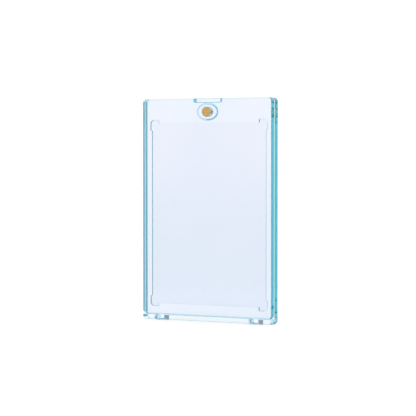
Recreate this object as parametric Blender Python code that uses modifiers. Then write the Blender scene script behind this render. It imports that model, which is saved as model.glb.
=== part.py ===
# Clear two-piece case for one trading card. The back base holds the card in a
# shallow pocket. The front cover hooks into the base's bottom ledge with two tabs,
# swings forward on them, and is held shut by a pair of disc magnets at the top.
#
# Frame: metres. X runs across the card, Y through the thickness with the front at
# -Y, and Z up the card. The origin is under the middle of the bottom edge.

import math

import bmesh
import bpy
from mathutils import Matrix, Vector

# The card that the case is made for
CARD_WIDTH = 0.0635
CARD_HEIGHT = 0.0889
CARD_THICKNESS = 0.0009

# Gaps
PIECE_GAP = 0.0003  # between any two faces of different pieces that meet
CARD_SIDE_PLAY = 0.00045  # card to pocket wall, left and right
CARD_END_PLAY = 0.00085  # card to pocket wall, top and bottom
CARD_FACE_PLAY = 0.00015  # card to the closed cover

# Walls round the pocket
SIDE_WALL = 0.0040
POCKET_FOOT = 0.0054  # from the cover's bottom edge up to the pocket
POCKET_HEAD = 0.00135  # from the pocket up to the boss's recess
BASE_FLOOR = 0.00295  # behind the card

# Outer form of both plates
CORNER_RADIUS = 0.0020
EDGE_ROUND = 0.0003

# Corner reliefs of the pocket, which keep its walls off the card's corners
RELIEF_WIDTH = 0.0046
RELIEF_HEIGHT = 0.0052
RELIEF_SIDE = 0.0008  # how far it stands out past the pocket's side
RELIEF_END = 0.0016  # how far it stands out past the pocket's top or bottom
RELIEF_RADIUS = 0.0020

# Magnets and the boss that seats one of them
MAGNET_DIAMETER = 0.0050
MAGNET_THICKNESS = 0.0020
MAGNET_EDGE = 0.00015
MAGNET_SKIN = 0.0004  # clear skin in front of the cover's magnet
BOSS_SIDE_RIM = 0.00265  # boss material left and right of the magnet's pocket
BOSS_END_RIM = 0.00105  # boss material above and below it
BOSS_HEIGHT = 0.0007
BOSS_ROOT = 0.0005  # how deep the boss's solid starts inside the base
BOSS_EDGE = 0.00015

# Nail recess at the top, half of it in each plate
PRY_WIDTH = 0.0151
PRY_DEPTH = 0.00185
PRY_REACH = 0.0014  # into each plate, from its inner face
PRY_WALL = 0.0006  # between the nail recess and the boss's recess
PRY_RADIUS = 0.0004

# Hinge: tabs of the cover in slots of the base's bottom ledge
TAB_WIDTH = 0.0046
TAB_SIDE_PLAY = 0.0007  # tab to slot wall, left and right
TAB_LENGTH = 0.0026  # below the cover's bottom edge
TAB_INSET = 0.0096  # from the case's side to the middle of a tab
TAB_BACK_STEP = 0.0001  # how far the tab's back lies in front of the cover's
TAB_ROOT = 0.0010  # how far the tab's solid starts inside the cover
TAB_EDGE_RADIUS = 0.0001
LEDGE_LIP = 0.0008  # front wall of a slot, which holds its tab back

# Cutters run this far past the faces that they open
CUT_OVERRUN = 0.0010

# Roundness
CORNER_STEPS = 8
EDGE_STEPS = 3
DISC_SIDES = 64
SHARP_ANGLE = math.radians(40)
WELD_DISTANCE = 1e-7
FLAT_ANGLE = math.radians(0.5)

# Sizes that follow from the ones above
pocket_width = CARD_WIDTH + 2 * CARD_SIDE_PLAY
pocket_height = CARD_HEIGHT + 2 * CARD_END_PLAY
pocket_depth = CARD_THICKNESS + CARD_FACE_PLAY - PIECE_GAP
relief_root_radius = RELIEF_SIDE / 2  # the two fillets of a relief's step meet halfway

magnet_radius = MAGNET_DIAMETER / 2
magnet_hole_radius = magnet_radius + PIECE_GAP
boss_width = 2 * (magnet_hole_radius + BOSS_SIDE_RIM)
boss_height_up = 2 * (magnet_hole_radius + BOSS_END_RIM)
recess_width = boss_width + 2 * PIECE_GAP
recess_height_up = boss_height_up + 2 * PIECE_GAP
magnet_drop = PRY_DEPTH + PRY_WALL + recess_height_up / 2

cover_thickness = MAGNET_SKIN + PIECE_GAP + MAGNET_THICKNESS + BOSS_HEIGHT
base_thickness = pocket_depth + BASE_FLOOR
case_depth = cover_thickness + PIECE_GAP + base_thickness
case_width = pocket_width + 2 * SIDE_WALL

ledge_height = TAB_LENGTH
cover_bottom_z = ledge_height + PIECE_GAP
pocket_bottom_z = cover_bottom_z + POCKET_FOOT
pocket_top_z = pocket_bottom_z + pocket_height
magnet_z = pocket_top_z + POCKET_HEAD + recess_height_up / 2
case_top_z = magnet_z + magnet_drop
pry_floor_z = case_top_z - PRY_DEPTH

front_y = -case_depth / 2
cover_back_y = front_y + cover_thickness
base_front_y = cover_back_y + PIECE_GAP
back_y = base_front_y + base_thickness
recess_floor_y = cover_back_y - BOSS_HEIGHT
boss_top_y = base_front_y - BOSS_HEIGHT
pocket_floor_y = base_front_y + pocket_depth

tab_x = case_width / 2 - TAB_INSET
tab_front_y = front_y + LEDGE_LIP + PIECE_GAP
tab_back_y = cover_back_y - TAB_BACK_STEP
tab_tip_z = cover_bottom_z - TAB_LENGTH
slot_width = TAB_WIDTH + 2 * TAB_SIDE_PLAY
slot_front_y = front_y + LEDGE_LIP

# The cover turns about its own bottom front edge, halfway down the gap to the ledge.
# A tab's heel lies on an arc about that axis, so it swings clear of the base.
hinge_y = front_y
hinge_z = ledge_height + PIECE_GAP / 2
heel_radius = base_front_y - hinge_y - PIECE_GAP

# Linear colours of the clear plastic and the plated magnets
CLEAR_COLOUR = (0.84, 0.89, 0.98)
CLEAR_ROUGHNESS = 0.03
CLEAR_IOR = 1.49
GOLD_COLOUR = (0.61, 0.38, 0.12)
GOLD_ROUGHNESS = 0.30


def clear_scene():
    for ob in list(bpy.data.objects):
        bpy.data.objects.remove(ob, do_unlink=True)


def new_collection(name):
    collection = bpy.data.collections.new(name)
    bpy.context.scene.collection.children.link(collection)
    return collection


def corner_arc(before, corner, after, radius):
    """Points of a fillet at corner, between the sides to its two neighbours."""
    here = Vector(corner)
    to_before = (Vector(before) - here).normalized()
    to_after = (Vector(after) - here).normalized()
    half = to_before.angle(to_after) / 2
    centre = here + (to_before + to_after).normalized() * (radius / math.sin(half))
    first = here + to_before * (radius / math.tan(half)) - centre
    last = here + to_after * (radius / math.tan(half)) - centre
    turn = first.angle_signed(last)
    points = []
    for step in range(CORNER_STEPS + 1):
        angle = -turn * step / CORNER_STEPS
        arm = Matrix.Rotation(angle, 2) @ first
        points.append(centre + arm)
    return points


def rounded_outline(corners):
    """Closed outline through (x, y, radius) corners, each filleted by its radius."""
    points = []
    count = len(corners)
    for index, (x, y, radius) in enumerate(corners):
        before = corners[index - 1][:2]
        after = corners[(index + 1) % count][:2]
        if radius > 0:
            points.extend(corner_arc(before, (x, y), after, radius))
        else:
            points.append(Vector((x, y)))
    apart = [i for i in range(len(points)) if (points[i] - points[i - 1]).length > WELD_DISTANCE]
    return [points[i] for i in apart]


def rectangle(x_low, z_low, x_high, z_high, radius):
    return [
        (x_low, z_low, radius),
        (x_high, z_low, radius),
        (x_high, z_high, radius),
        (x_low, z_high, radius),
    ]


# Turn a flat outline's own axes to the case's: across and up, or depth and up
OUTLINE_FACES_FRONT = Matrix.Rotation(math.radians(90), 4, "X")
OUTLINE_FACES_SIDE = Matrix(((0, 0, 1, 0), (1, 0, 0, 0), (0, 1, 0, 0), (0, 0, 0, 1)))


def flat_solid(name, corners, thickness, middle, turn, collection):
    """Solid of an outline with the given thickness about middle, as a clean mesh."""
    curve = bpy.data.curves.new(name, "CURVE")
    curve.dimensions = "2D"
    curve.fill_mode = "BOTH"
    curve.extrude = thickness / 2
    outline = rounded_outline(corners)
    spline = curve.splines.new("POLY")
    spline.points.add(len(outline) - 1)
    for point, place in zip(spline.points, outline):
        point.co = place.to_4d()
    spline.use_cyclic_u = True
    drawn = bpy.data.objects.new(name + "_outline", curve)
    drawn.matrix_world = Matrix.Translation(middle) @ turn
    collection.objects.link(drawn)
    bpy.context.view_layer.update()

    evaluated = drawn.evaluated_get(bpy.context.evaluated_depsgraph_get())
    mesh = bpy.data.meshes.new_from_object(evaluated)
    mesh.name = name
    shape = bmesh.new()
    shape.from_mesh(mesh)
    bmesh.ops.remove_doubles(shape, verts=shape.verts, dist=WELD_DISTANCE)
    bmesh.ops.dissolve_limit(shape, angle_limit=FLAT_ANGLE, verts=shape.verts, edges=shape.edges)
    bmesh.ops.recalc_face_normals(shape, faces=shape.faces)
    shape.to_mesh(mesh)
    shape.free()
    solid = bpy.data.objects.new(name, mesh)
    solid.matrix_world = drawn.matrix_world.copy()
    collection.objects.link(solid)
    bpy.data.objects.remove(drawn, do_unlink=True)
    return solid


def plate_between(name, corners, y_low, y_high, collection):
    """Solid of an outline across X and Z that fills the depth from y_low to y_high."""
    middle = Vector((0, (y_low + y_high) / 2, 0))
    return flat_solid(name, corners, y_high - y_low, middle, OUTLINE_FACES_FRONT, collection)


def cylinder(name, radius, length, middle, turn, collection):
    """Cylinder about middle, as long as given along the axis that an outline faces."""
    shape = bmesh.new()
    bmesh.ops.create_cone(
        shape,
        cap_ends=True,
        segments=DISC_SIDES,
        radius1=radius,
        radius2=radius,
        depth=length,
    )
    mesh = bpy.data.meshes.new(name)
    shape.to_mesh(mesh)
    shape.free()
    solid = bpy.data.objects.new(name, mesh)
    solid.matrix_world = Matrix.Translation(middle) @ turn
    collection.objects.link(solid)
    return solid


def disc_between(name, radius, y_low, y_high, collection):
    """Disc about the magnets' centre line that fills the depth from y_low to y_high."""
    middle = Vector((0, (y_low + y_high) / 2, magnet_z))
    return cylinder(name, radius, y_high - y_low, middle, OUTLINE_FACES_FRONT, collection)


def round_edges(ob, width):
    bevel = ob.modifiers.new("edges", "BEVEL")
    bevel.width = width
    bevel.segments = EDGE_STEPS
    bevel.limit_method = "ANGLE"
    bevel.angle_limit = SHARP_ANGLE


def combine(ob, other, operation):
    """Live Boolean of ob with another solid, which is kept as a hidden guide."""
    boolean = ob.modifiers.new(operation.lower() + "_" + other.name, "BOOLEAN")
    boolean.operation = operation
    boolean.solver = "EXACT"
    boolean.object = other
    other.hide_render = True
    other.display_type = "WIRE"


def shade_round(ob):
    ob.data.shade_smooth()
    ob.data.set_sharp_from_angle(angle=SHARP_ANGLE)


def hang_on(ob, empty):
    """Parents ob to the empty without moving it."""
    ob.parent = empty
    ob.matrix_parent_inverse = Matrix.Translation(empty.location).inverted()


def surface(name, colour, roughness, metallic=0.0, clear=0.0, ior=1.5):
    material = bpy.data.materials.new(name)
    material.use_nodes = True
    shader = material.node_tree.nodes["Principled BSDF"]
    shader.inputs["Base Color"].default_value = (*colour, 1.0)
    shader.inputs["Roughness"].default_value = roughness
    shader.inputs["Metallic"].default_value = metallic
    shader.inputs["Transmission Weight"].default_value = clear
    shader.inputs["IOR"].default_value = ior
    return material


def case_outline(z_low, z_high):
    half = case_width / 2
    return rectangle(-half, z_low, half, z_high, CORNER_RADIUS)


def pocket_outline():
    """The card's outline with play, and a larger relief at each of its corners."""
    side = pocket_width / 2
    relief_side = side + RELIEF_SIDE
    relief_inner = relief_side - RELIEF_WIDTH
    middle = (pocket_bottom_z + pocket_top_z) / 2
    end = pocket_height / 2
    relief_end = end + RELIEF_END
    relief_step = relief_end - RELIEF_HEIGHT
    corner = [
        (side, relief_step, relief_root_radius),
        (relief_side, relief_step, relief_root_radius),
        (relief_side, relief_end, RELIEF_RADIUS),
        (relief_inner, relief_end, relief_root_radius),
        (relief_inner, end, relief_root_radius),
    ]
    corners = []
    for x_way, z_way in ((1, 1), (-1, 1), (-1, -1), (1, -1)):
        run = corner if x_way * z_way > 0 else corner[::-1]
        corners.extend((x_way * x, middle + z_way * z, radius) for x, z, radius in run)
    return corners


def oval_outline(width, height_up):
    """Ellipse round the magnets' centre line."""
    corners = []
    for step in range(DISC_SIDES):
        angle = 2 * math.pi * step / DISC_SIDES
        x = math.cos(angle) * width / 2
        z = magnet_z + math.sin(angle) * height_up / 2
        corners.append((x, z, 0))
    return corners


def pry_cutter(name, collection):
    half = PRY_WIDTH / 2
    corners = [
        (-half, pry_floor_z, PRY_RADIUS),
        (half, pry_floor_z, PRY_RADIUS),
        (half, case_top_z + CUT_OVERRUN, 0),
        (-half, case_top_z + CUT_OVERRUN, 0),
    ]
    return plate_between(
        name, corners, cover_back_y - PRY_REACH, base_front_y + PRY_REACH, collection
    )


def slot_cutter(name, x_middle, collection):
    """Slot in the ledge behind its lip, open at the top, the bottom and the back."""
    half = slot_width / 2
    corners = rectangle(x_middle - half, -CUT_OVERRUN, x_middle + half, hinge_z, 0)
    return plate_between(name, corners, slot_front_y, back_y + CUT_OVERRUN, collection)


def hinge_tab(name, x_middle, hinge, collection):
    """Tab with a flat front and back, cut off at its heel by the arc that it swings on."""
    corners = [
        (tab_front_y, cover_bottom_z + TAB_ROOT, 0),
        (tab_front_y, tab_tip_z, TAB_EDGE_RADIUS),
        (tab_back_y, tab_tip_z, 0),
        (tab_back_y, cover_bottom_z + TAB_ROOT, 0),
    ]
    middle = Vector((x_middle, 0, 0))
    tab = flat_solid(name, corners, TAB_WIDTH, middle, OUTLINE_FACES_SIDE, collection)
    reach = cylinder(
        name + "_reach",
        heel_radius,
        TAB_WIDTH + 2 * CUT_OVERRUN,
        Vector((x_middle, hinge_y, hinge_z)),
        OUTLINE_FACES_SIDE,
        collection,
    )
    combine(tab, reach, "INTERSECT")
    hang_on(tab, hinge)
    hang_on(reach, hinge)
    return tab


def make_back_base(parts, guides):
    base = plate_between("back_base", case_outline(0, case_top_z), front_y, back_y, parts)
    half = case_width / 2 + CUT_OVERRUN
    room = rectangle(-half, ledge_height, half, case_top_z + CUT_OVERRUN, 0)
    cover_room = plate_between("cover_room", room, front_y - CUT_OVERRUN, base_front_y, guides)
    combine(base, cover_room, "DIFFERENCE")
    round_edges(base, EDGE_ROUND)

    boss_shape = oval_outline(boss_width, boss_height_up)
    boss = plate_between("boss", boss_shape, boss_top_y, base_front_y + BOSS_ROOT, guides)
    round_edges(boss, BOSS_EDGE)
    combine(base, boss, "UNION")

    card_pocket = plate_between(
        "card_pocket", pocket_outline(), base_front_y - CUT_OVERRUN, pocket_floor_y, guides
    )
    combine(base, card_pocket, "DIFFERENCE")

    hole_end = boss_top_y + MAGNET_THICKNESS + PIECE_GAP
    magnet_hole = disc_between(
        "base_magnet_hole", magnet_hole_radius, boss_top_y - CUT_OVERRUN, hole_end, guides
    )
    combine(base, magnet_hole, "DIFFERENCE")
    combine(base, pry_cutter("base_pry_cut", guides), "DIFFERENCE")
    for side, way in (("left", -1), ("right", 1)):
        slot = slot_cutter(side + "_slot", way * tab_x, guides)
        combine(base, slot, "DIFFERENCE")

    base.data.materials.append(surface("clear_base", CLEAR_COLOUR, CLEAR_ROUGHNESS, 0, 1, CLEAR_IOR))
    return base


def make_front_cover(parts, guides, hinge):
    shape = case_outline(cover_bottom_z, case_top_z)
    cover = plate_between("front_cover", shape, front_y, cover_back_y, parts)
    round_edges(cover, EDGE_ROUND)
    hang_on(cover, hinge)

    recess_shape = oval_outline(recess_width, recess_height_up)
    helpers = [
        plate_between(
            "boss_recess", recess_shape, recess_floor_y, cover_back_y + CUT_OVERRUN, guides
        ),
        disc_between(
            "cover_magnet_hole",
            magnet_hole_radius,
            recess_floor_y - MAGNET_THICKNESS - PIECE_GAP,
            cover_back_y,
            guides,
        ),
        pry_cutter("cover_pry_cut", guides),
    ]
    for side, way in (("left", -1), ("right", 1)):
        tab = hinge_tab(side + "_tab", way * tab_x, hinge, guides)
        combine(cover, tab, "UNION")
    for cutter in helpers:
        hang_on(cutter, hinge)
        combine(cover, cutter, "DIFFERENCE")

    cover.data.materials.append(surface("clear_cover", CLEAR_COLOUR, CLEAR_ROUGHNESS, 0, 1, CLEAR_IOR))
    return cover


def make_magnet(name, y_low, parts):
    magnet = disc_between(name, magnet_radius, y_low, y_low + MAGNET_THICKNESS, parts)
    round_edges(magnet, MAGNET_EDGE)
    shade_round(magnet)
    magnet.data.materials.append(surface(name + "_plate", GOLD_COLOUR, GOLD_ROUGHNESS, 1))
    return magnet


def main():
    clear_scene()
    parts = new_collection("magnetic_card_holder")
    guides = new_collection("cutters")

    hinge = bpy.data.objects.new("cover_hinge", None)
    hinge.location = (0, hinge_y, hinge_z)
    hinge.empty_display_size = CORNER_RADIUS
    parts.objects.link(hinge)

    make_back_base(parts, guides)
    make_front_cover(parts, guides, hinge)

    make_magnet("base_magnet", boss_top_y, parts)
    cover_magnet = make_magnet("cover_magnet", recess_floor_y - MAGNET_THICKNESS, parts)
    hang_on(cover_magnet, hinge)


main()
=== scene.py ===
import math

import bmesh
import bpy
from bpy.props import (
    FloatProperty,
    FloatVectorProperty,
    IntProperty,
    PointerProperty,
)
from bpy.types import Operator, Panel, PropertyGroup
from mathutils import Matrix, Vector


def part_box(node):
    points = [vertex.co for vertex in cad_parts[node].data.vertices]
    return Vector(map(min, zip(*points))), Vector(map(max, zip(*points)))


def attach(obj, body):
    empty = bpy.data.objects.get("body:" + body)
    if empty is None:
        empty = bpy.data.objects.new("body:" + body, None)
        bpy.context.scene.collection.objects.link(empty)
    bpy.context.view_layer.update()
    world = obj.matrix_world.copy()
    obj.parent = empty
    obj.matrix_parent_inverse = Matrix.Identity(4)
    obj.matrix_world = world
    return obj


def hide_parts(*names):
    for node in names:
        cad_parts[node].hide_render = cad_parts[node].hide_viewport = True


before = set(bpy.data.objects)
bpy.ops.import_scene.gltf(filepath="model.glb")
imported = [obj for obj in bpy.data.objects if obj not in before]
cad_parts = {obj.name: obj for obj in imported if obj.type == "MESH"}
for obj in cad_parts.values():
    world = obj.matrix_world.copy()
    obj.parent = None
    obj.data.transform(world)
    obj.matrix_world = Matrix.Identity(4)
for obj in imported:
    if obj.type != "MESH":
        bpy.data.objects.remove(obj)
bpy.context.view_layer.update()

bl_info = {
    "name": "Clear card case",
    "version": (1, 0, 0),
    "blender": (4, 5, 0),
    "location": "3D View > Sidebar > Card case",
    "description": "Builds a clear two-plate card case with its magnets and a pale studio",
    "category": "Object",
}

# Where the CAD pieces lie
base_low, base_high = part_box("back_base")
cover_low, cover_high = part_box("front_cover")
base_magnet_low, base_magnet_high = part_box("base_magnet")
cover_magnet_low, cover_magnet_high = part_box("cover_magnet")

# Axes, angles and distances that the modelling tools go by
ACROSS, THROUGH, UP = 0, 1, 2
QUARTER_TURN = math.radians(90)
SHARP_ANGLE = math.radians(30)
LEVEL_ANGLE = math.radians(0.1)  # faces that meet at less than this are made one
WELD_DISTANCE = 1e-6
NEAR_DISTANCE = WELD_DISTANCE * 10
FLAT_SHARE = 0.99  # a face looks along an axis, or an edge runs along it, from this share on
MAGNET_RIM_SHARE = 0.99  # of a magnet's radius: its rims lie further out than this
CIRCLE_PROFILE = 0.5  # a bevel with this profile is part of a circle

# Marks on the plates' faces: how much of an edge, a wall, a pocket floor and a seat each one is. They
# place painted light and painted shade as well as the finish
PAINTED_LIGHT_AND_FINISH_MARKS = "painted_light_and_finish_marks"
POLISHED = (0, 0, 0, 0)
# an edge's tint is painted light: the teal glow of light guided along the plate
EDGE = (1, 0, 0, 0)
LOWER_RIM = (1, 0, 0, 0.5)  # half way from an edge's painted light to a seat's
# a wall's tint is painted shade
WALL = (0, 1, 0, 0)
# a pocket floor's tint is painted shade
FLOOR = (0, 0, 1, 0)
# a seat's tint is painted light: the bright cyan ring round the boss and the nail recess
SEAT = (0, 1, 0, 1)

# How a face's mark is found from its place and the way it faces
LEFT_FACING = -0.7  # a face looks left if its normal's part across the case is below this
DOWN_FACING = -0.1  # a face looks down if its normal's upright part is below this
RIM_SHARE = 1.1  # of the edge round: a rim's faces lie within this of the outline
LEDGE_SHARE = 0.1  # of the edge round: slots start this far below the ledge's top, tabs below the cover
STEP_SHARE = 2  # of the edge round: faces up to this far above the ledge's top count as its own
HOLE_SHARE = 1.05  # of a magnet hole's radius: the hole's faces lie within this

# Where the tints change
CLOUD_SHARE = 0.35  # of the drift: what the clouds give, where the rest is painted shade that comes from the height
POCKET_PALE_SHARE = 0.8  # of the case's height: above it the pocket's floor has its pale painted shade
POCKET_LOW_SHARE = 0.35  # of the case's height: below it the floor has its darker painted shade
PLATED_SHARE = 0.94  # of a magnet's radius: up to here the gold plating shows alone
BARE_SHARE = 0.98  # of a magnet's radius: from here on the pale painted halo shows
SOAK_SHARE = 0.99  # of the absorption's density: what the most absorbed colour takes of it

# Each pattern: its scale along each axis, how far it leans to the side in radians, its detail,
# and the two values of the noise between which it rises from 0 to 1
PATTERNS = {
    "clouds": ((22, 40, 14), 0.5, 2, 0.3, 0.7),
    "upright hairlines": ((1500, 40, 22), 0.35, 1, 0.73, 0.80),
    "level hairlines": ((30, 40, 1700), 0.2, 1, 0.75, 0.82),
    "specks": ((900, 900, 900), 0, 0, 0.80, 0.86),
    "plating clouds": ((420, 420, 420), 0, 3, 0.35, 0.65),
}
GRAIN_SCALE = (5200, 5200, 5200)
GRAIN_DETAIL = 3

WHITE = (1, 1, 1, 1)
COLOUR_SOCKET = "NodeSocketColor"
NUMBER_SOCKET = "NodeSocketFloat"
MIRRORED_ONCE = 0.5  # a count of mirrorings above this is one or more

# Where a Mix node has its first input, its second and its result, for each kind of data
MIX_SOCKETS = {"RGBA": (6, 7, 2), "FLOAT": (2, 3, 0)}

FLOOR_SPARE_SHARE = 1.05  # of the radius where the floor has faded out: the floor's own radius
CAMERA_REACH = (0.01, 100)  # the nearest and the farthest that the camera sees


def length(name, description, default):
    return FloatProperty(
        name=name, description=description, default=default, min=0, unit="LENGTH", precision=5
    )


def colour(name, description, default):
    return FloatVectorProperty(
        name=name, description=description, default=default, size=3, min=0, max=1, subtype="COLOR"
    )


def share(name, description, default):
    return FloatProperty(
        name=name, description=description, default=default, min=0, max=1, subtype="FACTOR"
    )


def angle(name, description, degrees):
    return FloatProperty(
        name=name, description=description, default=math.radians(degrees), subtype="ANGLE"
    )


def count(name, description, default):
    return IntProperty(name=name, description=description, default=default, min=1)


class CaseSizes(PropertyGroup):
    """Sizes of the two clear plates"""

    gap: length("Piece gap", "Room between any two faces that meet", 0.0003)
    corner: length("Corner radius", "Round of the plates' four corners", 0.0020)
    edge: length("Edge round", "Round of every outer edge", 0.0003)
    corner_steps: count("Corner steps", "Facets of a corner", 16)
    edge_steps: count("Edge steps", "Facets of an edge's round", 4)
    overrun: length("Overrun", "How far a cutter runs past the faces that it opens", 0.0010)


class PocketSizes(PropertyGroup):
    """Sizes of the card pocket in the base"""

    width: length("Width", "Pocket, left to right", 0.0644)
    height: length("Height", "Pocket, bottom to top", 0.0906)
    foot: length("Foot", "From the cover's bottom edge up to the pocket", 0.0054)
    depth: length("Depth", "Pocket floor behind the base's front", 0.00075)
    relief_width: length("Relief width", "Corner relief, left to right", 0.0046)
    relief_height: length("Relief height", "Corner relief, bottom to top", 0.0052)
    relief_side: length("Relief side", "How far a relief stands out past the side", 0.0008)
    relief_end: length("Relief end", "How far a relief stands out past the end", 0.0016)
    relief_round: length("Relief round", "Round of a relief's outer corner", 0.0020)
    relief_root: length("Relief root", "Round where a relief meets the pocket's sides", 0.0002)
    rim_round: length("Rim round", "Round of the pocket's rim", 0.00012)


class ClosureSizes(PropertyGroup):
    """Sizes of the magnets' seat and of the nail recess above it"""

    magnet_round: length("Magnet edge", "Round of a magnet's rims", 0.00025)
    magnet_border: length("Magnet border", "Flat border round a magnet's dished face", 0.00045)
    magnet_slope: length("Magnet slope", "Width of the slope down to the dish", 0.00008)
    magnet_dish: length("Magnet dish", "Depth of the dished face", 0.00004)
    magnet_hold: length("Magnet hold", "How far a pressed-in magnet bites into its hole", 0.00001)
    magnet_steps: count("Magnet steps", "Facets of a magnet and of its hole", 96)
    boss_side: length("Boss side rim", "Boss left and right of the magnet's hole", 0.00265)
    boss_end: length("Boss end rim", "Boss above and below the magnet's hole", 0.00105)
    boss_steps: count("Boss steps", "Facets of the boss's oval", 128)
    boss_root: length("Boss root", "How deep the boss starts inside the base", 0.0005)
    boss_round: length("Boss edge", "Round of the boss's edge", 0.00030)
    pry_width: length("Nail recess width", "Left to right", 0.0151)
    pry_depth: length("Nail recess depth", "Down from the top edge", 0.00185)
    pry_reach: length("Nail recess reach", "Into each plate from its inner face", 0.0014)
    pry_round: length("Nail recess round", "Round of its lower corners", 0.0004)
    rim_round: length("Rim round", "Round of the rims of both recesses", 0.00025)


class HingeSizes(PropertyGroup):
    """Sizes of the hooked hinge at the bottom"""

    tab_width: length("Tab width", "Left to right", 0.0046)
    tab_play: length("Tab play", "Tab to slot wall, left and right", 0.0007)
    tab_inset: length("Tab inset", "From the case's side to the middle of a tab", 0.0096)
    tab_step: length("Tab back step", "How far the tab's back lies in front of the cover's", 0.0001)
    tab_root: length("Tab root", "How far the tab starts inside the cover", 0.0010)
    heel_steps: count("Heel steps", "Facets round the hinge", 128)
    ledge: length("Ledge height", "Bottom ledge of the base", 0.0026)
    lip: length("Ledge lip", "Clear wall in front of a slot", 0.0008)


class Finish(PropertyGroup):
    """Colours and gloss of the clear plastic, its edges and the plating, with their painted light and
    shade
    """

    clear_tint: colour("Clear tint", "Tint of a polished face", (0.970, 0.950, 0.990))
    # painted light: the ledge is kept paler than the plates above it
    ledge_painted_light: colour("Ledge tint", "Tint of the ledge's front and back", (1.0, 0.965, 1.0))
    # painted shade: the pocket's floor a little darker than the faces, high up
    pocket_painted_shade: colour("Pocket tint", "Tint of the pocket's floor high up", (0.880, 0.860, 0.950))
    low_pocket_painted_shade: colour("Low pocket tint", "Tint of its floor low down", (0.795, 0.815, 0.895))
    # painted light: the teal glow of light guided along the plate, on its outer edges and magnet holes
    edge_painted_light: colour("Edge tint", "Tint of an outer edge", (0.62, 0.86, 0.92))
    # painted shade: the pocket's walls dark navy, as where they mirror a dark room
    wall_painted_shade: colour("Wall tint", "Tint of the pocket's walls", (0.04, 0.19, 0.25))
    # painted light: the bright cyan ring round the boss and the nail recess
    seat_painted_light: colour("Seat tint", "Tint round the boss and the nail recess", (0.05, 0.57, 0.74))
    # random clouds and painted shade: the plates grow darker down towards the ledge
    cloud_and_painted_shade_tint: colour("Drift tint", "Multiplies a tint where it drifts most", (0.955, 0.973, 0.985))
    edge_gloss: share("Edge roughness", "Roughness of an outer edge", 0.0)
    wall_gloss: share("Wall roughness", "Roughness of an inner wall", 0.30)
    worn_gloss: share("Worn roughness", "Roughness that hairlines and specks add", 0.06)
    ior: FloatProperty(name="Refraction", description="Index of the acrylic", default=1.49)
    absorbed: FloatVectorProperty(
        name="Absorbed per metre",
        description="Red, green and blue light lost inside the acrylic",
        default=(17.0, 5.0, 3.7),
        size=3,
    )
    gold: colour("Gold plate", "Colour of the plated magnets", (0.70, 0.40, 0.050))
    gold_pale: colour("Gold plate, pale", "The plating where it drifts paler", (0.74, 0.445, 0.085))
    # painted halo: the pale rims and side of a magnet stand in for the halo of light round the gold
    # disc
    nickel: colour("Nickel", "What shows where a magnet's side is rubbed", (0.66, 0.66, 0.60))
    gold_gloss: share("Plate roughness", "Roughness of the plating", 0.30)
    grain_gloss: share("Grain roughness", "Roughness that the plating's grain adds", 0.12)
    grain_strength: share("Grain strength", "How much the plating's grain shows", 0.05)
    grain_depth: length("Grain depth", "Depth of the plating's grain", 0.00002)


class Studio(PropertyGroup):
    """Camera, floor and light"""

    camera_place: FloatVectorProperty(
        name="Camera place",
        description="Where the camera stands",
        default=(0.4136130, -0.7571266, 0.0831446),
        size=3,
        subtype="TRANSLATION",
    )
    camera_turn: angle("Camera turn", "How far it looks to the left of straight back", 28.689)
    camera_dip: angle("Camera dip", "How far it looks down", 1.761)
    lens: FloatProperty(name="Lens", description="Focal length", default=150.18, unit="CAMERA")
    sensor: FloatProperty(name="Sensor", description="Sensor's width", default=36.0, unit="CAMERA")
    floor_colour: colour("Floor", "Pale floor", (0.30, 0.30, 0.30))
    floor_gloss: share("Floor roughness", "Roughness of the floor", 0.9)
    floor_glow: FloatProperty(name="Floor glow", description="Strength of its own light", default=0.76)
    floor_solid: length("Solid floor", "Radius up to which the floor is solid", 0.12)
    floor_end: length("Floor end", "Radius at which the floor has faded out", 0.28)
    floor_steps: count("Floor steps", "Corners of the floor's disc", 96)
    near_floor: length("Near floor", "Depth up to which mirrored light meets the floor", 0.030)
    near_floor_end: length("Near floor end", "Depth past which mirrored light misses it", 0.036)
    # painted shadow: the floor behind the case is darker, seen only in mirrored light
    floor_painted_shadow: colour(
        "Mirrored floor", "Tone of the floor behind the case in mirrored light", (0.24, 0.29, 0.36)
    )
    sky: FloatProperty(name="Light", description="Strength of the room's light", default=1.05)
    teal_card: colour("Teal card", "Card in the room, seen in mirrored light", (0.12, 0.40, 0.48))
    card_turn: angle("Card turn", "From the right round to the back", 61)
    card_height: angle("Card height", "Above the horizon", -1.8)
    card_whole: angle("Whole card", "Round its middle, where it has its full tone", 14)
    card_end: angle("Card end", "Round its middle, where it has faded out", 30)
    bounces: count("Bounces", "How often light may bounce in the clear pieces", 128)
    open_bounces: count("Open bounces", "How often light may pass through the faded floor", 32)


class CardCase(PropertyGroup):
    """All settings of the card case"""

    case: PointerProperty(type=CaseSizes)
    pocket: PointerProperty(type=PocketSizes)
    closure: PointerProperty(type=ClosureSizes)
    hinge: PointerProperty(type=HingeSizes)
    finish: PointerProperty(type=Finish)
    studio: PointerProperty(type=Studio)


def settings():
    return bpy.context.scene.card_case


# Modelling by hand: select in code, then call Blender's own tools


def start_clean():
    if bpy.context.mode != "OBJECT":
        bpy.ops.object.mode_set(mode="OBJECT")
    bpy.ops.object.select_all(action="DESELECT")


def make_active(ob):
    start_clean()
    ob.select_set(True)
    bpy.context.view_layer.objects.active = ob


def take_new(name):
    """Names the new primitive and puts its place and size into its mesh."""
    ob = bpy.context.object
    ob.name = ob.data.name = name
    make_active(ob)
    bpy.ops.object.transform_apply(location=True, rotation=True, scale=True)
    return ob


def add_block(name, low, high):
    """A block between two corners."""
    start_clean()
    low, high = Vector(low), Vector(high)
    bpy.ops.mesh.primitive_cube_add(size=1, location=(low + high) / 2, scale=high - low)
    return take_new(name)


def add_cylinder(name, middle, radius, depth, turn, steps):
    start_clean()
    bpy.ops.mesh.primitive_cylinder_add(
        vertices=steps, radius=radius, depth=depth, location=middle, rotation=turn
    )
    return take_new(name)


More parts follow.
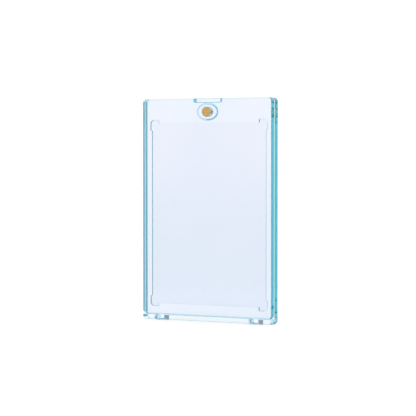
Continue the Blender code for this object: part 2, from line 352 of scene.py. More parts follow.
def edit(ob, mode):
    """Enters edit mode with nothing selected, and gives the shape that is edited."""
    make_active(ob)
    bpy.ops.object.mode_set(mode="EDIT")
    bpy.ops.mesh.select_mode(type=mode)
    bpy.ops.mesh.select_all(action="DESELECT")
    return bmesh.from_edit_mesh(ob.data)


def edit_all(ob, mode):
    edit(ob, mode)
    bpy.ops.mesh.select_all(action="SELECT")


def leave_edit():
    bpy.ops.object.mode_set(mode="OBJECT")


def pick(ob, mode, wanted):
    """Enters edit mode with the edges or faces selected that the test wants."""
    shape = edit(ob, mode)
    found = [part for part in (shape.edges if mode == "EDGE" else shape.faces) if wanted(part)]
    for part in found:
        part.select_set(True)
    bmesh.update_edit_mesh(ob.data)
    if not found:
        raise RuntimeError("nothing to pick on " + ob.name)


def middle_of(edge):
    return (edge.verts[0].co + edge.verts[1].co) / 2


def runs_along(edge, axis):
    return abs((edge.verts[1].co - edge.verts[0].co).normalized()[axis]) > FLAT_SHARE


def is_sharp(edge):
    return edge.calc_face_angle(0) > SHARP_ANGLE


def near(value, goal):
    return abs(value - goal) < NEAR_DISTANCE


def cut_across(ob, axis, at):
    """Cuts the whole shape square to an axis at a place along it, and keeps both sides."""
    edit_all(ob, "FACE")
    place, normal = Vector((0, 0, 0)), Vector((0, 0, 0))
    place[axis], normal[axis] = at, 1
    bpy.ops.mesh.bisect(plane_co=place, plane_no=normal, threshold=WELD_DISTANCE)
    leave_edit()


def round_picked(radius, steps):
    bpy.ops.mesh.bevel(
        offset_type="OFFSET", offset=radius, segments=steps, profile=CIRCLE_PROFILE, affect="EDGES"
    )
    leave_edit()


def round_corners(ob, radius, steps, wanted):
    """Rounds edges that run through the depth, such as a plate's corners."""
    pick(ob, "EDGE", lambda edge: runs_along(edge, THROUGH) and wanted(middle_of(edge)))
    round_picked(radius, steps)


def round_sharp(ob, radius, steps):
    """Rounds every edge where two faces meet at a clear angle."""
    pick(ob, "EDGE", is_sharp)
    round_picked(radius, steps)


def round_rim(ob, y, radius, wanted):
    """Rounds the sharp edges of an opening in the plane at y."""
    pick(
        ob,
        "EDGE",
        lambda edge: all(near(vert.co.y, y) for vert in edge.verts)
        and is_sharp(edge)
        and wanted(middle_of(edge)),
    )
    round_picked(radius, settings().case.edge_steps)


def push_faces(ob, wanted, way):
    """Extrudes the faces that the test wants."""
    pick(ob, "FACE", wanted)
    bpy.ops.mesh.extrude_region_move(TRANSFORM_OT_translate={"value": way})
    leave_edit()


def combine(ob, tool, operation):
    """Applies a Boolean with another shape, which is used up."""
    boolean = ob.modifiers.new(tool.name, "BOOLEAN")
    boolean.operation = operation
    boolean.solver = "EXACT"
    boolean.object = tool
    make_active(ob)
    bpy.ops.object.modifier_apply(modifier=boolean.name)
    bpy.data.objects.remove(tool, do_unlink=True)


def clean_mesh(ob):
    """Welds corners that meet, joins faces that lie level and turns all faces outwards."""
    edit_all(ob, "VERT")
    bpy.ops.mesh.remove_doubles(threshold=WELD_DISTANCE)
    bpy.ops.mesh.dissolve_limited(angle_limit=LEVEL_ANGLE)
    bpy.ops.mesh.normals_make_consistent(inside=False)
    leave_edit()


def shade_smooth(ob):
    make_active(ob)
    bpy.ops.object.shade_smooth_by_angle(angle=SHARP_ANGLE)
    weighted = ob.modifiers.new("even_light", "WEIGHTED_NORMAL")
    weighted.keep_sharp = True
    bpy.ops.object.modifier_apply(modifier=weighted.name)


# Places that the pieces share


def cover_bottom():
    """Height of the cover's bottom edge, a gap above the ledge."""
    return settings().hinge.ledge + settings().case.gap


def hinge_height():
    """Height of the hinge's axis, in the middle of the gap above the ledge."""
    return settings().hinge.ledge + settings().case.gap / 2


def pocket_bottom():
    return cover_bottom() + settings().pocket.foot


def closure_height():
    """Height of the magnets' middle."""
    return (cover_magnet_low.z + cover_magnet_high.z) / 2


def magnet_radius():
    return (cover_magnet_high.z - cover_magnet_low.z) / 2


def hole_radius():
    """The magnets are pressed in, so that no air is left round them."""
    return magnet_radius() - settings().closure.magnet_hold


def oval_halves(extra):
    """The boss's half width and half height, larger by extra."""
    sizes = settings().closure
    hole = magnet_radius() + settings().case.gap
    return hole + sizes.boss_side + extra, hole + sizes.boss_end + extra


def middle_reach(place):
    """Distance from the line through the middle of both magnets."""
    return math.hypot(place.x, place.z - closure_height())


def beyond_pocket_ends(z):
    """True above and below the pocket's straight ends, where only its reliefs reach."""
    low = pocket_bottom()
    return z < low - WELD_DISTANCE or z > low + settings().pocket.height + WELD_DISTANCE


def in_pocket(place):
    sizes = settings().pocket
    low = pocket_bottom() - sizes.relief_end
    high = low + sizes.height + 2 * sizes.relief_end
    side = sizes.width / 2 + sizes.relief_side
    spare = settings().case.edge
    return abs(place.x) < side + spare and low - spare < place.z < high + spare


def on_relief_or_side(place):
    """True for the pocket's upright sides and for the parts of a relief beyond its ends."""
    beside = abs(place.x) > settings().pocket.width / 2
    return in_pocket(place) and (beside or beyond_pocket_ends(place.z))


def in_nail_recess(place):
    sizes, spare = settings().closure, settings().case.edge
    return (
        abs(place.x) < sizes.pry_width / 2 + spare
        and base_high.z - sizes.pry_depth - spare < place.z < base_high.z - spare / 2
    )


def in_boss_recess(place):
    case = settings().case
    half_across, half_up = oval_halves(case.gap + case.edge)
    return abs(place.x) < half_across and abs(place.z - closure_height()) < half_up


# Shapes that the plates are cut and built with


def add_disc(name, radius, y_low, y_high, steps):
    """A disc about the magnets' middle. No corner of it lies straight above its middle."""
    return add_cylinder(
        name,
        (0, (y_low + y_high) / 2, closure_height()),
        radius,
        y_high - y_low,
        (QUARTER_TURN, math.pi / steps, 0),
        steps,
    )


def add_oval(name, extra, y_low, y_high):
    """The boss's oval, larger by extra all round."""
    half_across, half_up = oval_halves(extra)
    ob = add_disc(name, half_up, y_low, y_high, settings().closure.boss_steps)
    edit_all(ob, "VERT")
    bpy.ops.transform.resize(
        value=(half_across / half_up, 1, 1), center_override=(0, 0, closure_height())
    )
    leave_edit()
    return ob


def add_pry_tool():
    """The nail recess, which takes a bite from the inner top edge of both plates."""
    case, sizes = settings().case, settings().closure
    top = base_high.z
    cover_back = -case.gap
    block = add_block(
        "pry",
        (-sizes.pry_width / 2, cover_back - sizes.pry_reach, top - sizes.pry_depth),
        (sizes.pry_width / 2, sizes.pry_reach, top + case.overrun),
    )
    round_corners(block, sizes.pry_round, case.edge_steps, lambda middle: middle.z < top)
    return block


def add_pocket_tool():
    """The card's pocket with a larger relief at each corner."""
    case, sizes = settings().case, settings().pocket
    side = sizes.width / 2
    bottom = pocket_bottom()
    top = bottom + sizes.height
    tool = add_block("pocket", (-side, -case.overrun, bottom), (side, sizes.depth, top))
    relief_x = side + sizes.relief_side - sizes.relief_width
    relief_low = bottom - sizes.relief_end + sizes.relief_height
    relief_high = top + sizes.relief_end - sizes.relief_height
    for x in (-relief_x, relief_x):
        cut_across(tool, ACROSS, x)
    for z in (relief_low, relief_high):
        cut_across(tool, UP, z)

    def at_relief_height(face):
        z = face.calc_center_median().z
        return z < relief_low or z > relief_high

    for way in (-1, 1):
        push_faces(
            tool,
            lambda face: face.normal.x * way > FLAT_SHARE and at_relief_height(face),
            (way * sizes.relief_side, 0, 0),
        )
    for way in (-1, 1):
        push_faces(
            tool,
            lambda face: face.normal.z * way > FLAT_SHARE
            and abs(face.calc_center_median().x) > relief_x
            and at_relief_height(face),
            (0, 0, way * sizes.relief_end),
        )
    clean_mesh(tool)
    outer = side + sizes.relief_side
    round_corners(
        tool,
        sizes.relief_round,
        case.corner_steps,
        lambda middle: near(abs(middle.x), outer) and beyond_pocket_ends(middle.z),
    )
    round_corners(
        tool,
        sizes.relief_root,
        case.edge_steps,
        lambda middle: near(middle.z, relief_low)
        or near(middle.z, relief_high)
        or near(abs(middle.x), relief_x),
    )
    return tool


def add_slot_tool(x_middle):
    """Slot in the ledge behind its lip, open at the top, the bottom and the back."""
    case, hinge = settings().case, settings().hinge
    half = hinge.tab_width / 2 + hinge.tab_play
    return add_block(
        "slot",
        (x_middle - half, base_low.y + hinge.lip, -case.overrun),
        (x_middle + half, base_high.y + case.overrun, hinge_height()),
    )


def add_tab(x_middle):
    """Tab of the cover. Its heel lies on an arc about the hinge, so it swings clear."""
    case, hinge = settings().case, settings().hinge
    half = hinge.tab_width / 2
    tab = add_block(
        "tab",
        (x_middle - half, base_low.y + hinge.lip + case.gap, cover_low.z),
        (x_middle + half, -case.gap - hinge.tab_step, cover_bottom() + hinge.tab_root),
    )
    reach = add_cylinder(
        "tab_reach",
        (x_middle, base_low.y, hinge_height()),
        -base_low.y - case.gap,
        hinge.tab_width + 2 * case.overrun,
        (0, QUARTER_TURN, 0),
        hinge.heel_steps,
    )
    combine(tab, reach, "INTERSECT")
    return tab


# The pieces


def make_base_plate():
    """The back plate on its ledge, with the boss, the pocket, the slots and half a nail recess."""
    card = settings()
    case, pocket, closure, hinge = card.case, card.pocket, card.closure, card.hinge
    plate = add_block("clear_back", (base_low.x, 0, base_low.z), base_high)
    cut_across(plate, UP, hinge.ledge)
    push_faces(
        plate,
        lambda face: face.normal.y < -FLAT_SHARE and face.calc_center_median().z < hinge.ledge,
        (0, base_low.y, 0),
    )
    round_corners(
        plate,
        case.corner,
        case.corner_steps,
        lambda middle: near(abs(middle.x), base_high.x)
        and (near(middle.z, base_low.z) or near(middle.z, base_high.z)),
    )
    clean_mesh(plate)
    round_sharp(plate, case.edge, case.edge_steps)

    boss_top = base_magnet_low.y
    boss = add_oval("boss", 0, boss_top, closure.boss_root)
    round_sharp(boss, closure.boss_round, case.edge_steps)
    combine(plate, boss, "UNION")
    combine(plate, add_pocket_tool(), "DIFFERENCE")
    hole = add_disc(
        "hole",
        hole_radius(),
        boss_top - case.overrun,
        base_magnet_high.y - closure.magnet_hold,
        closure.magnet_steps,
    )
    combine(plate, hole, "DIFFERENCE")
    combine(plate, add_pry_tool(), "DIFFERENCE")
    for way in (-1, 1):
        combine(plate, add_slot_tool(way * (base_high.x - hinge.tab_inset)), "DIFFERENCE")
    clean_mesh(plate)
    round_rim(plate, 0, pocket.rim_round, on_relief_or_side)
    round_rim(plate, 0, closure.rim_round, in_nail_recess)
    return plate


def make_cover_plate():
    """The front plate, with its tabs, the recess for the boss and half a nail recess."""
    case, closure, hinge = settings().case, settings().closure, settings().hinge
    plate = add_block("clear_front", (cover_low.x, cover_low.y, cover_bottom()), cover_high)
    round_corners(plate, case.corner, case.corner_steps, lambda middle: True)
    round_sharp(plate, case.edge, case.edge_steps)
    for way in (-1, 1):
        combine(plate, add_tab(way * (cover_high.x - hinge.tab_inset)), "UNION")
    recess = add_oval("recess", case.gap, cover_magnet_high.y, case.overrun)
    combine(plate, recess, "DIFFERENCE")
    hole = add_disc(
        "hole",
        hole_radius(),
        cover_magnet_low.y + closure.magnet_hold,
        cover_high.y,
        closure.magnet_steps,
    )
    combine(plate, hole, "DIFFERENCE")
    combine(plate, add_pry_tool(), "DIFFERENCE")
    clean_mesh(plate)
    round_rim(plate, -case.gap, closure.rim_round, in_nail_recess)
    round_rim(plate, -case.gap, closure.rim_round, in_boss_recess)
    return plate


def make_magnet(name, low, high):
    """A plated disc with rounded rims and a very shallow dish in each face."""
    closure = settings().closure
    radius = (high.z - low.z) / 2
    magnet = add_disc(name, radius, low.y, high.y, closure.magnet_steps)
    for y in (low.y, high.y):
        pick(magnet, "FACE", lambda face: near(face.calc_center_median().y, y))
        bpy.ops.mesh.inset(thickness=closure.magnet_border, depth=0)
        bpy.ops.mesh.inset(thickness=closure.magnet_slope, depth=-closure.magnet_dish)
        leave_edit()
        round_rim(
            magnet,
            y,
            closure.magnet_round,
            lambda middle: middle_reach(middle) > radius * MAGNET_RIM_SHARE,
        )
    shade_smooth(magnet)
    return magnet


# Shader nodes


def feed(tree, socket, term):
    """Links another node's output to a socket, or sets the socket to a plain value."""
    if isinstance(term, bpy.types.NodeSocket):
        tree.links.new(term, socket)
    else:
        socket.default_value = term


def calculate(tree, operation, *terms):
    node = tree.nodes.new("ShaderNodeMath")
    node.operation = operation
    for socket, term in zip(node.inputs, terms):
        feed(tree, socket, term)
    return node.outputs[0]


def calculate_vector(tree, operation, *terms):
    """A length and a dot product give a number, and all else gives a vector."""
    node = tree.nodes.new("ShaderNodeVectorMath")
    node.operation = operation
    for socket, term in zip(node.inputs, terms):
        feed(tree, socket, term)
    return node.outputs["Value" if operation in ("LENGTH", "DOT_PRODUCT") else "Vector"]


def blend(tree, kind, factor, first, second):
    """The first where the factor is 0, and the second where it is 1."""
    first_at, second_at, result_at = MIX_SOCKETS[kind]
    mix = tree.nodes.new("ShaderNodeMix")
    mix.data_type = kind
    feed(tree, mix.inputs["Factor"], factor)
    feed(tree, mix.inputs[first_at], first)
    feed(tree, mix.inputs[second_at], second)
    return mix.outputs[result_at]


def blend_tone(tree, factor, first, second):
    return blend(tree, "RGBA", factor, first, second)


def blend_value(tree, factor, first, second):
    return blend(tree, "FLOAT", factor, first, second)


def ramp(tree, value, start, end):
    """0 at the start, 1 at the end, which may be the lower one, and smooth between."""
    node = tree.nodes.new("ShaderNodeMapRange")
    node.interpolation_type = "SMOOTHSTEP"
    feed(tree, node.inputs["Value"], value)
    feed(tree, node.inputs["From Min"], start)
    feed(tree, node.inputs["From Max"], end)
    return node.outputs["Result"]


def object_place(tree):
    return tree.nodes.new("ShaderNodeTexCoord").outputs["Object"]


def object_place_along(tree, axis):
    split = tree.nodes.new("ShaderNodeSeparateXYZ")
    feed(tree, split.inputs[0], object_place(tree))
    return split.outputs[axis]


def stretched_noise(tree, scale, lean, detail):
    """Noise in the object's own metres, stretched by a scale for each axis."""
    mapping = tree.nodes.new("ShaderNodeMapping")
    feed(tree, mapping.inputs["Vector"], object_place(tree))
    feed(tree, mapping.inputs["Rotation"], (0, lean, 0))
    feed(tree, mapping.inputs["Scale"], scale)
    noise = tree.nodes.new("ShaderNodeTexNoise")
    feed(tree, noise.inputs["Vector"], mapping.outputs["Vector"])
    feed(tree, noise.inputs["Scale"], 1)
    feed(tree, noise.inputs["Detail"], detail)
    return noise.outputs["Fac"]


def pattern(tree, name):
    scale, lean, detail, start, end = PATTERNS[name]
    return ramp(tree, stretched_noise(tree, scale, lean, detail), start, end)


def mirrored_rays(tree):
    """1 for light that a face has mirrored on its way, and 0 for light that came straight."""
    path = tree.nodes.new("ShaderNodeLightPath")
    return calculate(tree, "GREATER_THAN", path.outputs["Glossy Depth"], MIRRORED_ONCE)


# Node groups of the finishes


def new_group(name, inputs, outputs):
    """An empty shader node group with named sockets: (name, kind, default) each."""
    group = bpy.data.node_groups.new(name, "ShaderNodeTree")
    for label, kind, default in inputs:
        socket = group.interface.new_socket(label, in_out="INPUT", socket_type=kind)
        socket.default_value = default
    for label, kind in outputs:
        group.interface.new_socket(label, in_out="OUTPUT", socket_type=kind)
    return group, group.nodes.new("NodeGroupInput"), group.nodes.new("NodeGroupOutput")


def place_group(tree, name, values):
    """Puts a node group into a material with the material's own values."""
    node = tree.nodes.new("ShaderNodeGroup")
    node.node_tree = bpy.data.node_groups[name]
    for label, value in values.items():
        node.inputs[label].default_value = value if isinstance(value, float) else (*value, 1)
    return node


def painted_light_and_finish_masks(tree):
    """How much of an edge, a wall, a pocket floor and a seat a face is marked as, for its painted light
    and shade and its finish.
    """
    marks = tree.nodes.new("ShaderNodeAttribute")
    marks.attribute_name = PAINTED_LIGHT_AND_FINISH_MARKS
    split = tree.nodes.new("ShaderNodeSeparateColor")
    feed(tree, split.inputs["Color"], marks.outputs["Color"])
    shares = [split.outputs[part] for part in ("Red", "Green", "Blue")]
    return (*shares, marks.outputs["Alpha"])


def build_acrylic_tints_and_painted_light():
    """Each finish has its tint, and all but the face's are painted light and painted shade. Above the
    ledge it drifts darker down the plates as painted shade, and in soft clouds.
    """
    tints = ("Face", "Ledge", "Pocket", "Low pocket", "Edge", "Wall", "Seat", "Drift")
    group, given, out = new_group(
        "acrylic_tint_and_painted_light",
        [(label, COLOUR_SOCKET, WHITE) for label in tints],
        (("Color", COLOUR_SOCKET),),
    )
    edge, wall, pocket, seat = painted_light_and_finish_masks(group)
    height = object_place_along(group, "Z")
    ledge = ramp(group, height, cover_bottom(), settings().hinge.ledge)
    # painted shade: the pocket's floor grows darker low down
    low = ramp(group, height, base_high.z * POCKET_PALE_SHARE, base_high.z * POCKET_LOW_SHARE)
    floor = blend_tone(group, low, given.outputs["Pocket"], given.outputs["Low pocket"])
    # painted light: the ledge paler than the faces above it
    tone = blend_tone(group, ledge, given.outputs["Face"], given.outputs["Ledge"])
    tone = blend_tone(group, pocket, tone, floor)
    for mask, label in ((edge, "Edge"), (wall, "Wall"), (seat, "Seat")):
        tone = blend_tone(group, mask, tone, given.outputs[label])
    # painted shade: the plates grow darker down towards the ledge
    down = ramp(group, height, base_high.z, base_low.z)
    down = calculate(group, "MULTIPLY", down, 1 - CLOUD_SHARE)
    clouds_and_painted_shade = calculate(group, "MULTIPLY_ADD", pattern(group, "clouds"), CLOUD_SHARE, down)
    drift = blend_tone(group, clouds_and_painted_shade, WHITE, given.outputs["Drift"])
    drift = blend_tone(group, ledge, drift, WHITE)
    feed(group, out.inputs["Color"], calculate_vector(group, "MULTIPLY", tone, drift))


def build_acrylic_gloss():
    """Polished faces with hairlines and specks from handling, and duller moulded walls."""
    group, given, out = new_group(
        "acrylic_gloss",
        [(label, NUMBER_SOCKET, 0.0) for label in ("Edge", "Wall", "Worn")],
        (("Roughness", NUMBER_SOCKET),),
    )
    edge, wall, *_ = painted_light_and_finish_masks(group)
    worn = pattern(group, "upright hairlines")
    for name in ("level hairlines", "specks"):
        worn = calculate(group, "MAXIMUM", worn, pattern(group, name))
    own = calculate(group, "MULTIPLY", edge, given.outputs["Edge"])
    own = blend_value(group, wall, own, given.outputs["Wall"])
    rough = calculate(group, "MULTIPLY_ADD", worn, given.outputs["Worn"], own)
    feed(group, out.inputs["Roughness"], rough)


def build_plate_tone_and_painted_halo():
    """Thin plating: it drifts in tone, and a pale painted halo shows on the magnet's rims and side."""
    tones = [(label, COLOUR_SOCKET, WHITE) for label in ("Plate", "Pale plate", "Side")]
    numbers = [(label, NUMBER_SOCKET, 0.0) for label in ("Roughness", "Grain")]
    group, given, out = new_group(
        "plate_tone_and_painted_halo",
        tones + numbers,
        (("Color", COLOUR_SOCKET), ("Roughness", NUMBER_SOCKET), ("Height", NUMBER_SOCKET)),
    )
    cloud = pattern(group, "plating clouds")
    tone = blend_tone(group, cloud, given.outputs["Plate"], given.outputs["Pale plate"])
    centred = group.nodes.new("ShaderNodeMapping")
    feed(group, centred.inputs["Vector"], object_place(group))
    feed(group, centred.inputs["Location"], (0, 0, -closure_height()))
    feed(group, centred.inputs["Scale"], (1, 0, 1))
    reach = calculate_vector(group, "LENGTH", centred.outputs["Vector"])
    radius = magnet_radius()
    # painted halo: pale rims and side round the gold
    side = ramp(group, reach, radius * PLATED_SHARE, radius * BARE_SHARE)
    feed(group, out.inputs["Color"], blend_tone(group, side, tone, given.outputs["Side"]))
    grain = stretched_noise(group, GRAIN_SCALE, 0, GRAIN_DETAIL)
    terms = (grain, given.outputs["Grain"], given.outputs["Roughness"])
    feed(group, out.inputs["Roughness"], calculate(group, "MULTIPLY_ADD", *terms))
    feed(group, out.inputs["Height"], grain)


# Materials


def new_material(name):
    """Makes a material, and gives its node tree and its shader."""
    material = bpy.data.materials.new(name)
    material.use_nodes = True
    return material.node_tree, material.node_tree.nodes["Principled BSDF"]


def soak(tree, absorbed):
    """Colours light by the length of its way through the acrylic."""
    volume = tree.nodes.new("ShaderNodeVolumeAbsorption")
    density = max(absorbed) / SOAK_SHARE
    volume.inputs["Color"].default_value = (*(1 - value / density for value in absorbed), 1)
    volume.inputs["Density"].default_value = density
    feed(tree, tree.nodes["Material Output"].inputs["Volume"], volume.outputs["Volume"])


def mix_clear_acrylic(name):
    """One clear plastic for a whole plate. Marks on its faces say how each is finished and what light
    and shade are painted on it.
    """
    finish = settings().finish
    tree, shader = new_material(name)
    shader.inputs["IOR"].default_value = finish.ior
    shader.inputs["Transmission Weight"].default_value = 1
    # The face tint is the plastic's own; the ledge, edge and seat tints are painted light, the pocket
    # and wall tints painted shade, and the drift is random clouds with painted shade down the plates
    tints = {
        "Face": finish.clear_tint,
        "Ledge": finish.ledge_painted_light,
        "Pocket": finish.pocket_painted_shade,
        "Low pocket": finish.low_pocket_painted_shade,
        "Edge": finish.edge_painted_light,
        "Wall": finish.wall_painted_shade,
        "Seat": finish.seat_painted_light,
        "Drift": finish.cloud_and_painted_shade_tint,
    }
    tint = place_group(tree, "acrylic_tint_and_painted_light", tints)
    feed(tree, shader.inputs["Base Color"], tint.outputs["Color"])
    glosses = {"Edge": finish.edge_gloss, "Wall": finish.wall_gloss, "Worn": finish.worn_gloss}
    gloss = place_group(tree, "acrylic_gloss", glosses)
    feed(tree, shader.inputs["Roughness"], gloss.outputs["Roughness"])
    soak(tree, finish.absorbed)


def mix_gold_plate(name):
    """Plated metal with a fine grain and a pale painted halo round its rims."""
    finish = settings().finish
    tree, shader = new_material(name)
    shader.inputs["Metallic"].default_value = 1
    values = {
        "Plate": finish.gold,
        "Pale plate": finish.gold_pale,
        "Side": finish.nickel,
        "Roughness": finish.gold_gloss,
        "Grain": finish.grain_gloss,
    }
    plate = place_group(tree, "plate_tone_and_painted_halo", values)
    feed(tree, shader.inputs["Base Color"], plate.outputs["Color"])
    feed(tree, shader.inputs["Roughness"], plate.outputs["Roughness"])
    bump = tree.nodes.new("ShaderNodeBump")
    bump.inputs["Strength"].default_value = finish.grain_strength
    bump.inputs["Distance"].default_value = finish.grain_depth
    feed(tree, bump.inputs["Height"], plate.outputs["Height"])
    feed(tree, shader.inputs["Normal"], bump.outputs["Normal"])


# Which finish, painted light and painted shade each face of a plate has, by its place and the way it
# faces


def on_rim(place, low_z):
    """True near the outline of a plate that reaches down to low_z."""
    case = settings().case
    border = case.edge * RIM_SHARE
    across = base_high.x - abs(place.x)
    up = min(base_high.z - place.z, place.z - low_z)
    if across < case.corner and up < case.corner:
        return math.hypot(case.corner - across, case.corner - up) > case.corner - border
    return min(across, up) < border


def in_magnet_hole(place):
    return middle_reach(place) < hole_radius() * HOLE_SHARE


def hinge_painted_shade(normal):
    """Slot and tab sides that face left get the edge's tint as painted shade, and all else there is
    polished.
    """
    return EDGE if normal.x < LEFT_FACING else POLISHED


def base_painted_light_and_finish(place, normal):
    # Rims, the step above the ledge and the magnet hole get the edge's painted teal light, the pocket's
    # walls and floor painted shade, and the walls round the boss and nail recess the seat's painted
    # cyan light
    edge, ledge = settings().case.edge, settings().hinge.ledge
    if abs(normal.y) > FLAT_SHARE:
        return FLOOR if near(place.y, settings().pocket.depth) else POLISHED
    if on_rim(place, base_low.z):
        underside = place.z < edge and normal.z < DOWN_FACING
        return POLISHED if underside else EDGE
    if place.z < ledge - edge * LEDGE_SHARE:
        return hinge_painted_shade(normal)
    if place.z < ledge + edge * STEP_SHARE or in_magnet_hole(place):
        return EDGE
    return WALL if in_pocket(place) else SEAT


def cover_painted_light_and_finish(place, normal):
    # Rims and the magnet hole get the edge's painted teal light, the bottom rim a painted light between
    # edge and seat, and the walls round the recesses the seat's painted cyan light
    edge, bottom = settings().case.edge, cover_bottom()
    if abs(normal.y) > FLAT_SHARE:
        return POLISHED
    if place.z < bottom - edge * LEDGE_SHARE:
        return hinge_painted_shade(normal)
    # painted light: the cover's bottom rim gets a cyan line
    if place.z < bottom + edge and normal.z < DOWN_FACING:
        return LOWER_RIM
    return EDGE if on_rim(place, bottom) or in_magnet_hole(place) else SEAT


def dress_plate(ob, painted_light_and_finish_of):
    """Marks every face with its finish and its painted light and shade, in a colour attribute that the
    acrylic reads.
    """
    marks = ob.data.color_attributes.new(PAINTED_LIGHT_AND_FINISH_MARKS, "FLOAT_COLOR", "CORNER")
    for face in ob.data.polygons:
        mark = painted_light_and_finish_of(face.center, face.normal)
        for corner in face.loop_indices:
            marks.data[corner].color = mark
    ob.data.materials.clear()
    ob.data.materials.append(bpy.data.materials["clear_acrylic"])


# Camera, floor and light


def place_camera(studio):
    start_clean()
    tilt = QUARTER_TURN - studio.camera_dip
    bpy.ops.object.camera_add(
        location=studio.camera_place, rotation=(tilt, 0, studio.camera_turn)
    )
    camera = bpy.context.object
    camera.name = "camera"
    camera.data.lens = studio.lens
    camera.data.sensor_width = studio.sensor
    camera.data.clip_start, camera.data.clip_end = CAMERA_REACH
    bpy.context.scene.camera = camera


def lay_floor(studio):
    """A pale floor that fades out. Mirrored light meets its near part, with a painted shadow behind the
    case.
    """
    start_clean()
    radius = studio.floor_end * FLOOR_SPARE_SHARE
    bpy.ops.mesh.primitive_circle_add(
        vertices=studio.floor_steps, radius=radius, fill_type="NGON", location=(0, 0, 0)
    )
    floor = bpy.context.object
    floor.name = "floor"
    tree, shader = new_material("pale_floor")
    shader.inputs["Roughness"].default_value = studio.floor_gloss
    shader.inputs["Specular IOR Level"].default_value = 0
    shader.inputs["Emission Strength"].default_value = studio.floor_glow
    reach = calculate_vector(tree, "LENGTH", object_place(tree))
    solid = ramp(tree, reach, studio.floor_end, studio.floor_solid)
    depth = object_place_along(tree, "Y")
    behind = ramp(tree, depth, 0, base_high.y)
    within = ramp(tree, depth, studio.near_floor_end, studio.near_floor)
    mirrored = mirrored_rays(tree)
    near_solid = calculate(tree, "MULTIPLY", solid, within)
    feed(tree, shader.inputs["Alpha"], blend_value(tree, mirrored, solid, near_solid))
    # painted shadow on the floor behind the case, seen only in mirrored light
    darker = calculate(tree, "MULTIPLY", mirrored, behind)
    for tone, socket in ((studio.floor_colour, "Base Color"), (WHITE[:3], "Emission Color")):
        dark = [lit * kept for lit, kept in zip(tone, studio.floor_painted_shadow)]
        shown = blend_tone(tree, darker, (*tone, 1), (*dark, 1))
        feed(tree, shader.inputs[socket], shown)
    floor.data.materials.append(bpy.data.materials["pale_floor"])


def light_room(studio):
    """A white room with a soft round teal card in it, which shows only in mirrored light."""
    world = bpy.data.worlds.new("soft_room")
    bpy.context.scene.world = world
    world.use_nodes = True
    tree = world.node_tree
    background = tree.nodes["Background"]
    background.inputs["Strength"].default_value = studio.sky
    place = tree.nodes.new("ShaderNodeTexCoord")
    way = calculate_vector(tree, "NORMALIZE", place.outputs["Generated"])
    aim = (
        math.cos(studio.card_turn) * math.cos(studio.card_height),
        math.sin(studio.card_turn) * math.cos(studio.card_height),
        math.sin(studio.card_height),
    )
    toward = calculate_vector(tree, "DOT_PRODUCT", way, aim)
    card = ramp(tree, toward, math.cos(studio.card_end), math.cos(studio.card_whole))
    shown = calculate(tree, "MULTIPLY", card, mirrored_rays(tree))
    tone = blend_tone(tree, shown, WHITE, (*studio.teal_card, 1))
    feed(tree, background.inputs["Color"], tone)


class CARDCASE_OT_finishes(Operator):
    """Make the acrylic and plating finishes with their painted light and shade"""

    bl_idname = "cardcase.finishes"
    bl_label = "Mix finishes"

    def execute(self, context):
        build_acrylic_tints_and_painted_light()
        build_acrylic_gloss()
        build_plate_tone_and_painted_halo()
        mix_clear_acrylic("clear_acrylic")
        mix_gold_plate("gold_plate")
        return {"FINISHED"}


class CARDCASE_OT_base(Operator):
    """Make the clear back plate with its pocket, boss and ledge"""

    bl_idname = "cardcase.base"
    bl_label = "Make back plate"

    def execute(self, context):
        plate = make_base_plate()
        dress_plate(plate, base_painted_light_and_finish)
        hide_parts("back_base")
        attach(plate, "base")
        return {"FINISHED"}


class CARDCASE_OT_cover(Operator):
    """Make the clear front plate with its tabs and magnet seat"""

    bl_idname = "cardcase.cover"
    bl_label = "Make cover"

    def execute(self, context):
        plate = make_cover_plate()
        dress_plate(plate, cover_painted_light_and_finish)
        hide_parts("front_cover")
        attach(plate, "cover")
        return {"FINISHED"}


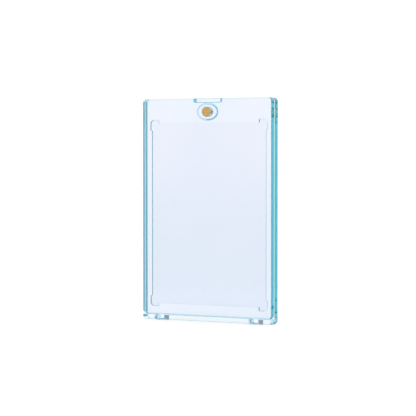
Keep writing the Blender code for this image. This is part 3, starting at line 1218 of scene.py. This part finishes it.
class CARDCASE_OT_magnets(Operator):
    """Make the two plated disc magnets"""

    bl_idname = "cardcase.magnets"
    bl_label = "Make magnets"

    def execute(self, context):
        for body in ("base", "cover"):
            node = body + "_magnet"
            magnet = make_magnet("plated_" + node, *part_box(node))
            magnet.data.materials.append(bpy.data.materials["gold_plate"])
            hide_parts(node)
            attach(magnet, body)
        return {"FINISHED"}


class CARDCASE_OT_stage(Operator):
    """Set the camera, the pale floor and the room's soft light"""

    bl_idname = "cardcase.stage"
    bl_label = "Set stage"

    def execute(self, context):
        studio = settings().studio
        place_camera(studio)
        lay_floor(studio)
        light_room(studio)
        context.scene.view_settings.view_transform = "Standard"
        cycles = context.scene.cycles
        cycles.max_bounces = studio.bounces
        cycles.transmission_bounces = studio.bounces
        cycles.glossy_bounces = studio.bounces
        cycles.transparent_max_bounces = studio.open_bounces
        cycles.use_denoising = True
        cycles.denoising_input_passes = "RGB"
        return {"FINISHED"}


class CARDCASE_PT_panel(Panel):
    """Lists the case's sizes, finishes and builders"""

    bl_label = "Card case"
    bl_idname = "CARDCASE_PT_panel"
    bl_space_type = "VIEW_3D"
    bl_region_type = "UI"
    bl_category = "Card case"

    def draw(self, context):
        for group_name in CardCase.__annotations__:
            group = getattr(settings(), group_name)
            box = self.layout.box()
            for name in group.__annotations__:
                box.prop(group, name)
        for operator in OPERATORS:
            self.layout.operator(operator.bl_idname)


GROUPS = (CaseSizes, PocketSizes, ClosureSizes, HingeSizes, Finish, Studio, CardCase)
OPERATORS = (
    CARDCASE_OT_finishes,
    CARDCASE_OT_base,
    CARDCASE_OT_cover,
    CARDCASE_OT_magnets,
    CARDCASE_OT_stage,
)


def register():
    for kind in (*GROUPS, *OPERATORS, CARDCASE_PT_panel):
        bpy.utils.register_class(kind)
    bpy.types.Scene.card_case = PointerProperty(type=CardCase)


def unregister():
    del bpy.types.Scene.card_case
    for kind in reversed((*GROUPS, *OPERATORS, CARDCASE_PT_panel)):
        bpy.utils.unregister_class(kind)


def main():
    register()
    bpy.ops.cardcase.finishes()
    bpy.ops.cardcase.base()
    bpy.ops.cardcase.cover()
    bpy.ops.cardcase.magnets()
    bpy.ops.cardcase.stage()


if __name__ == "__main__":
    main()
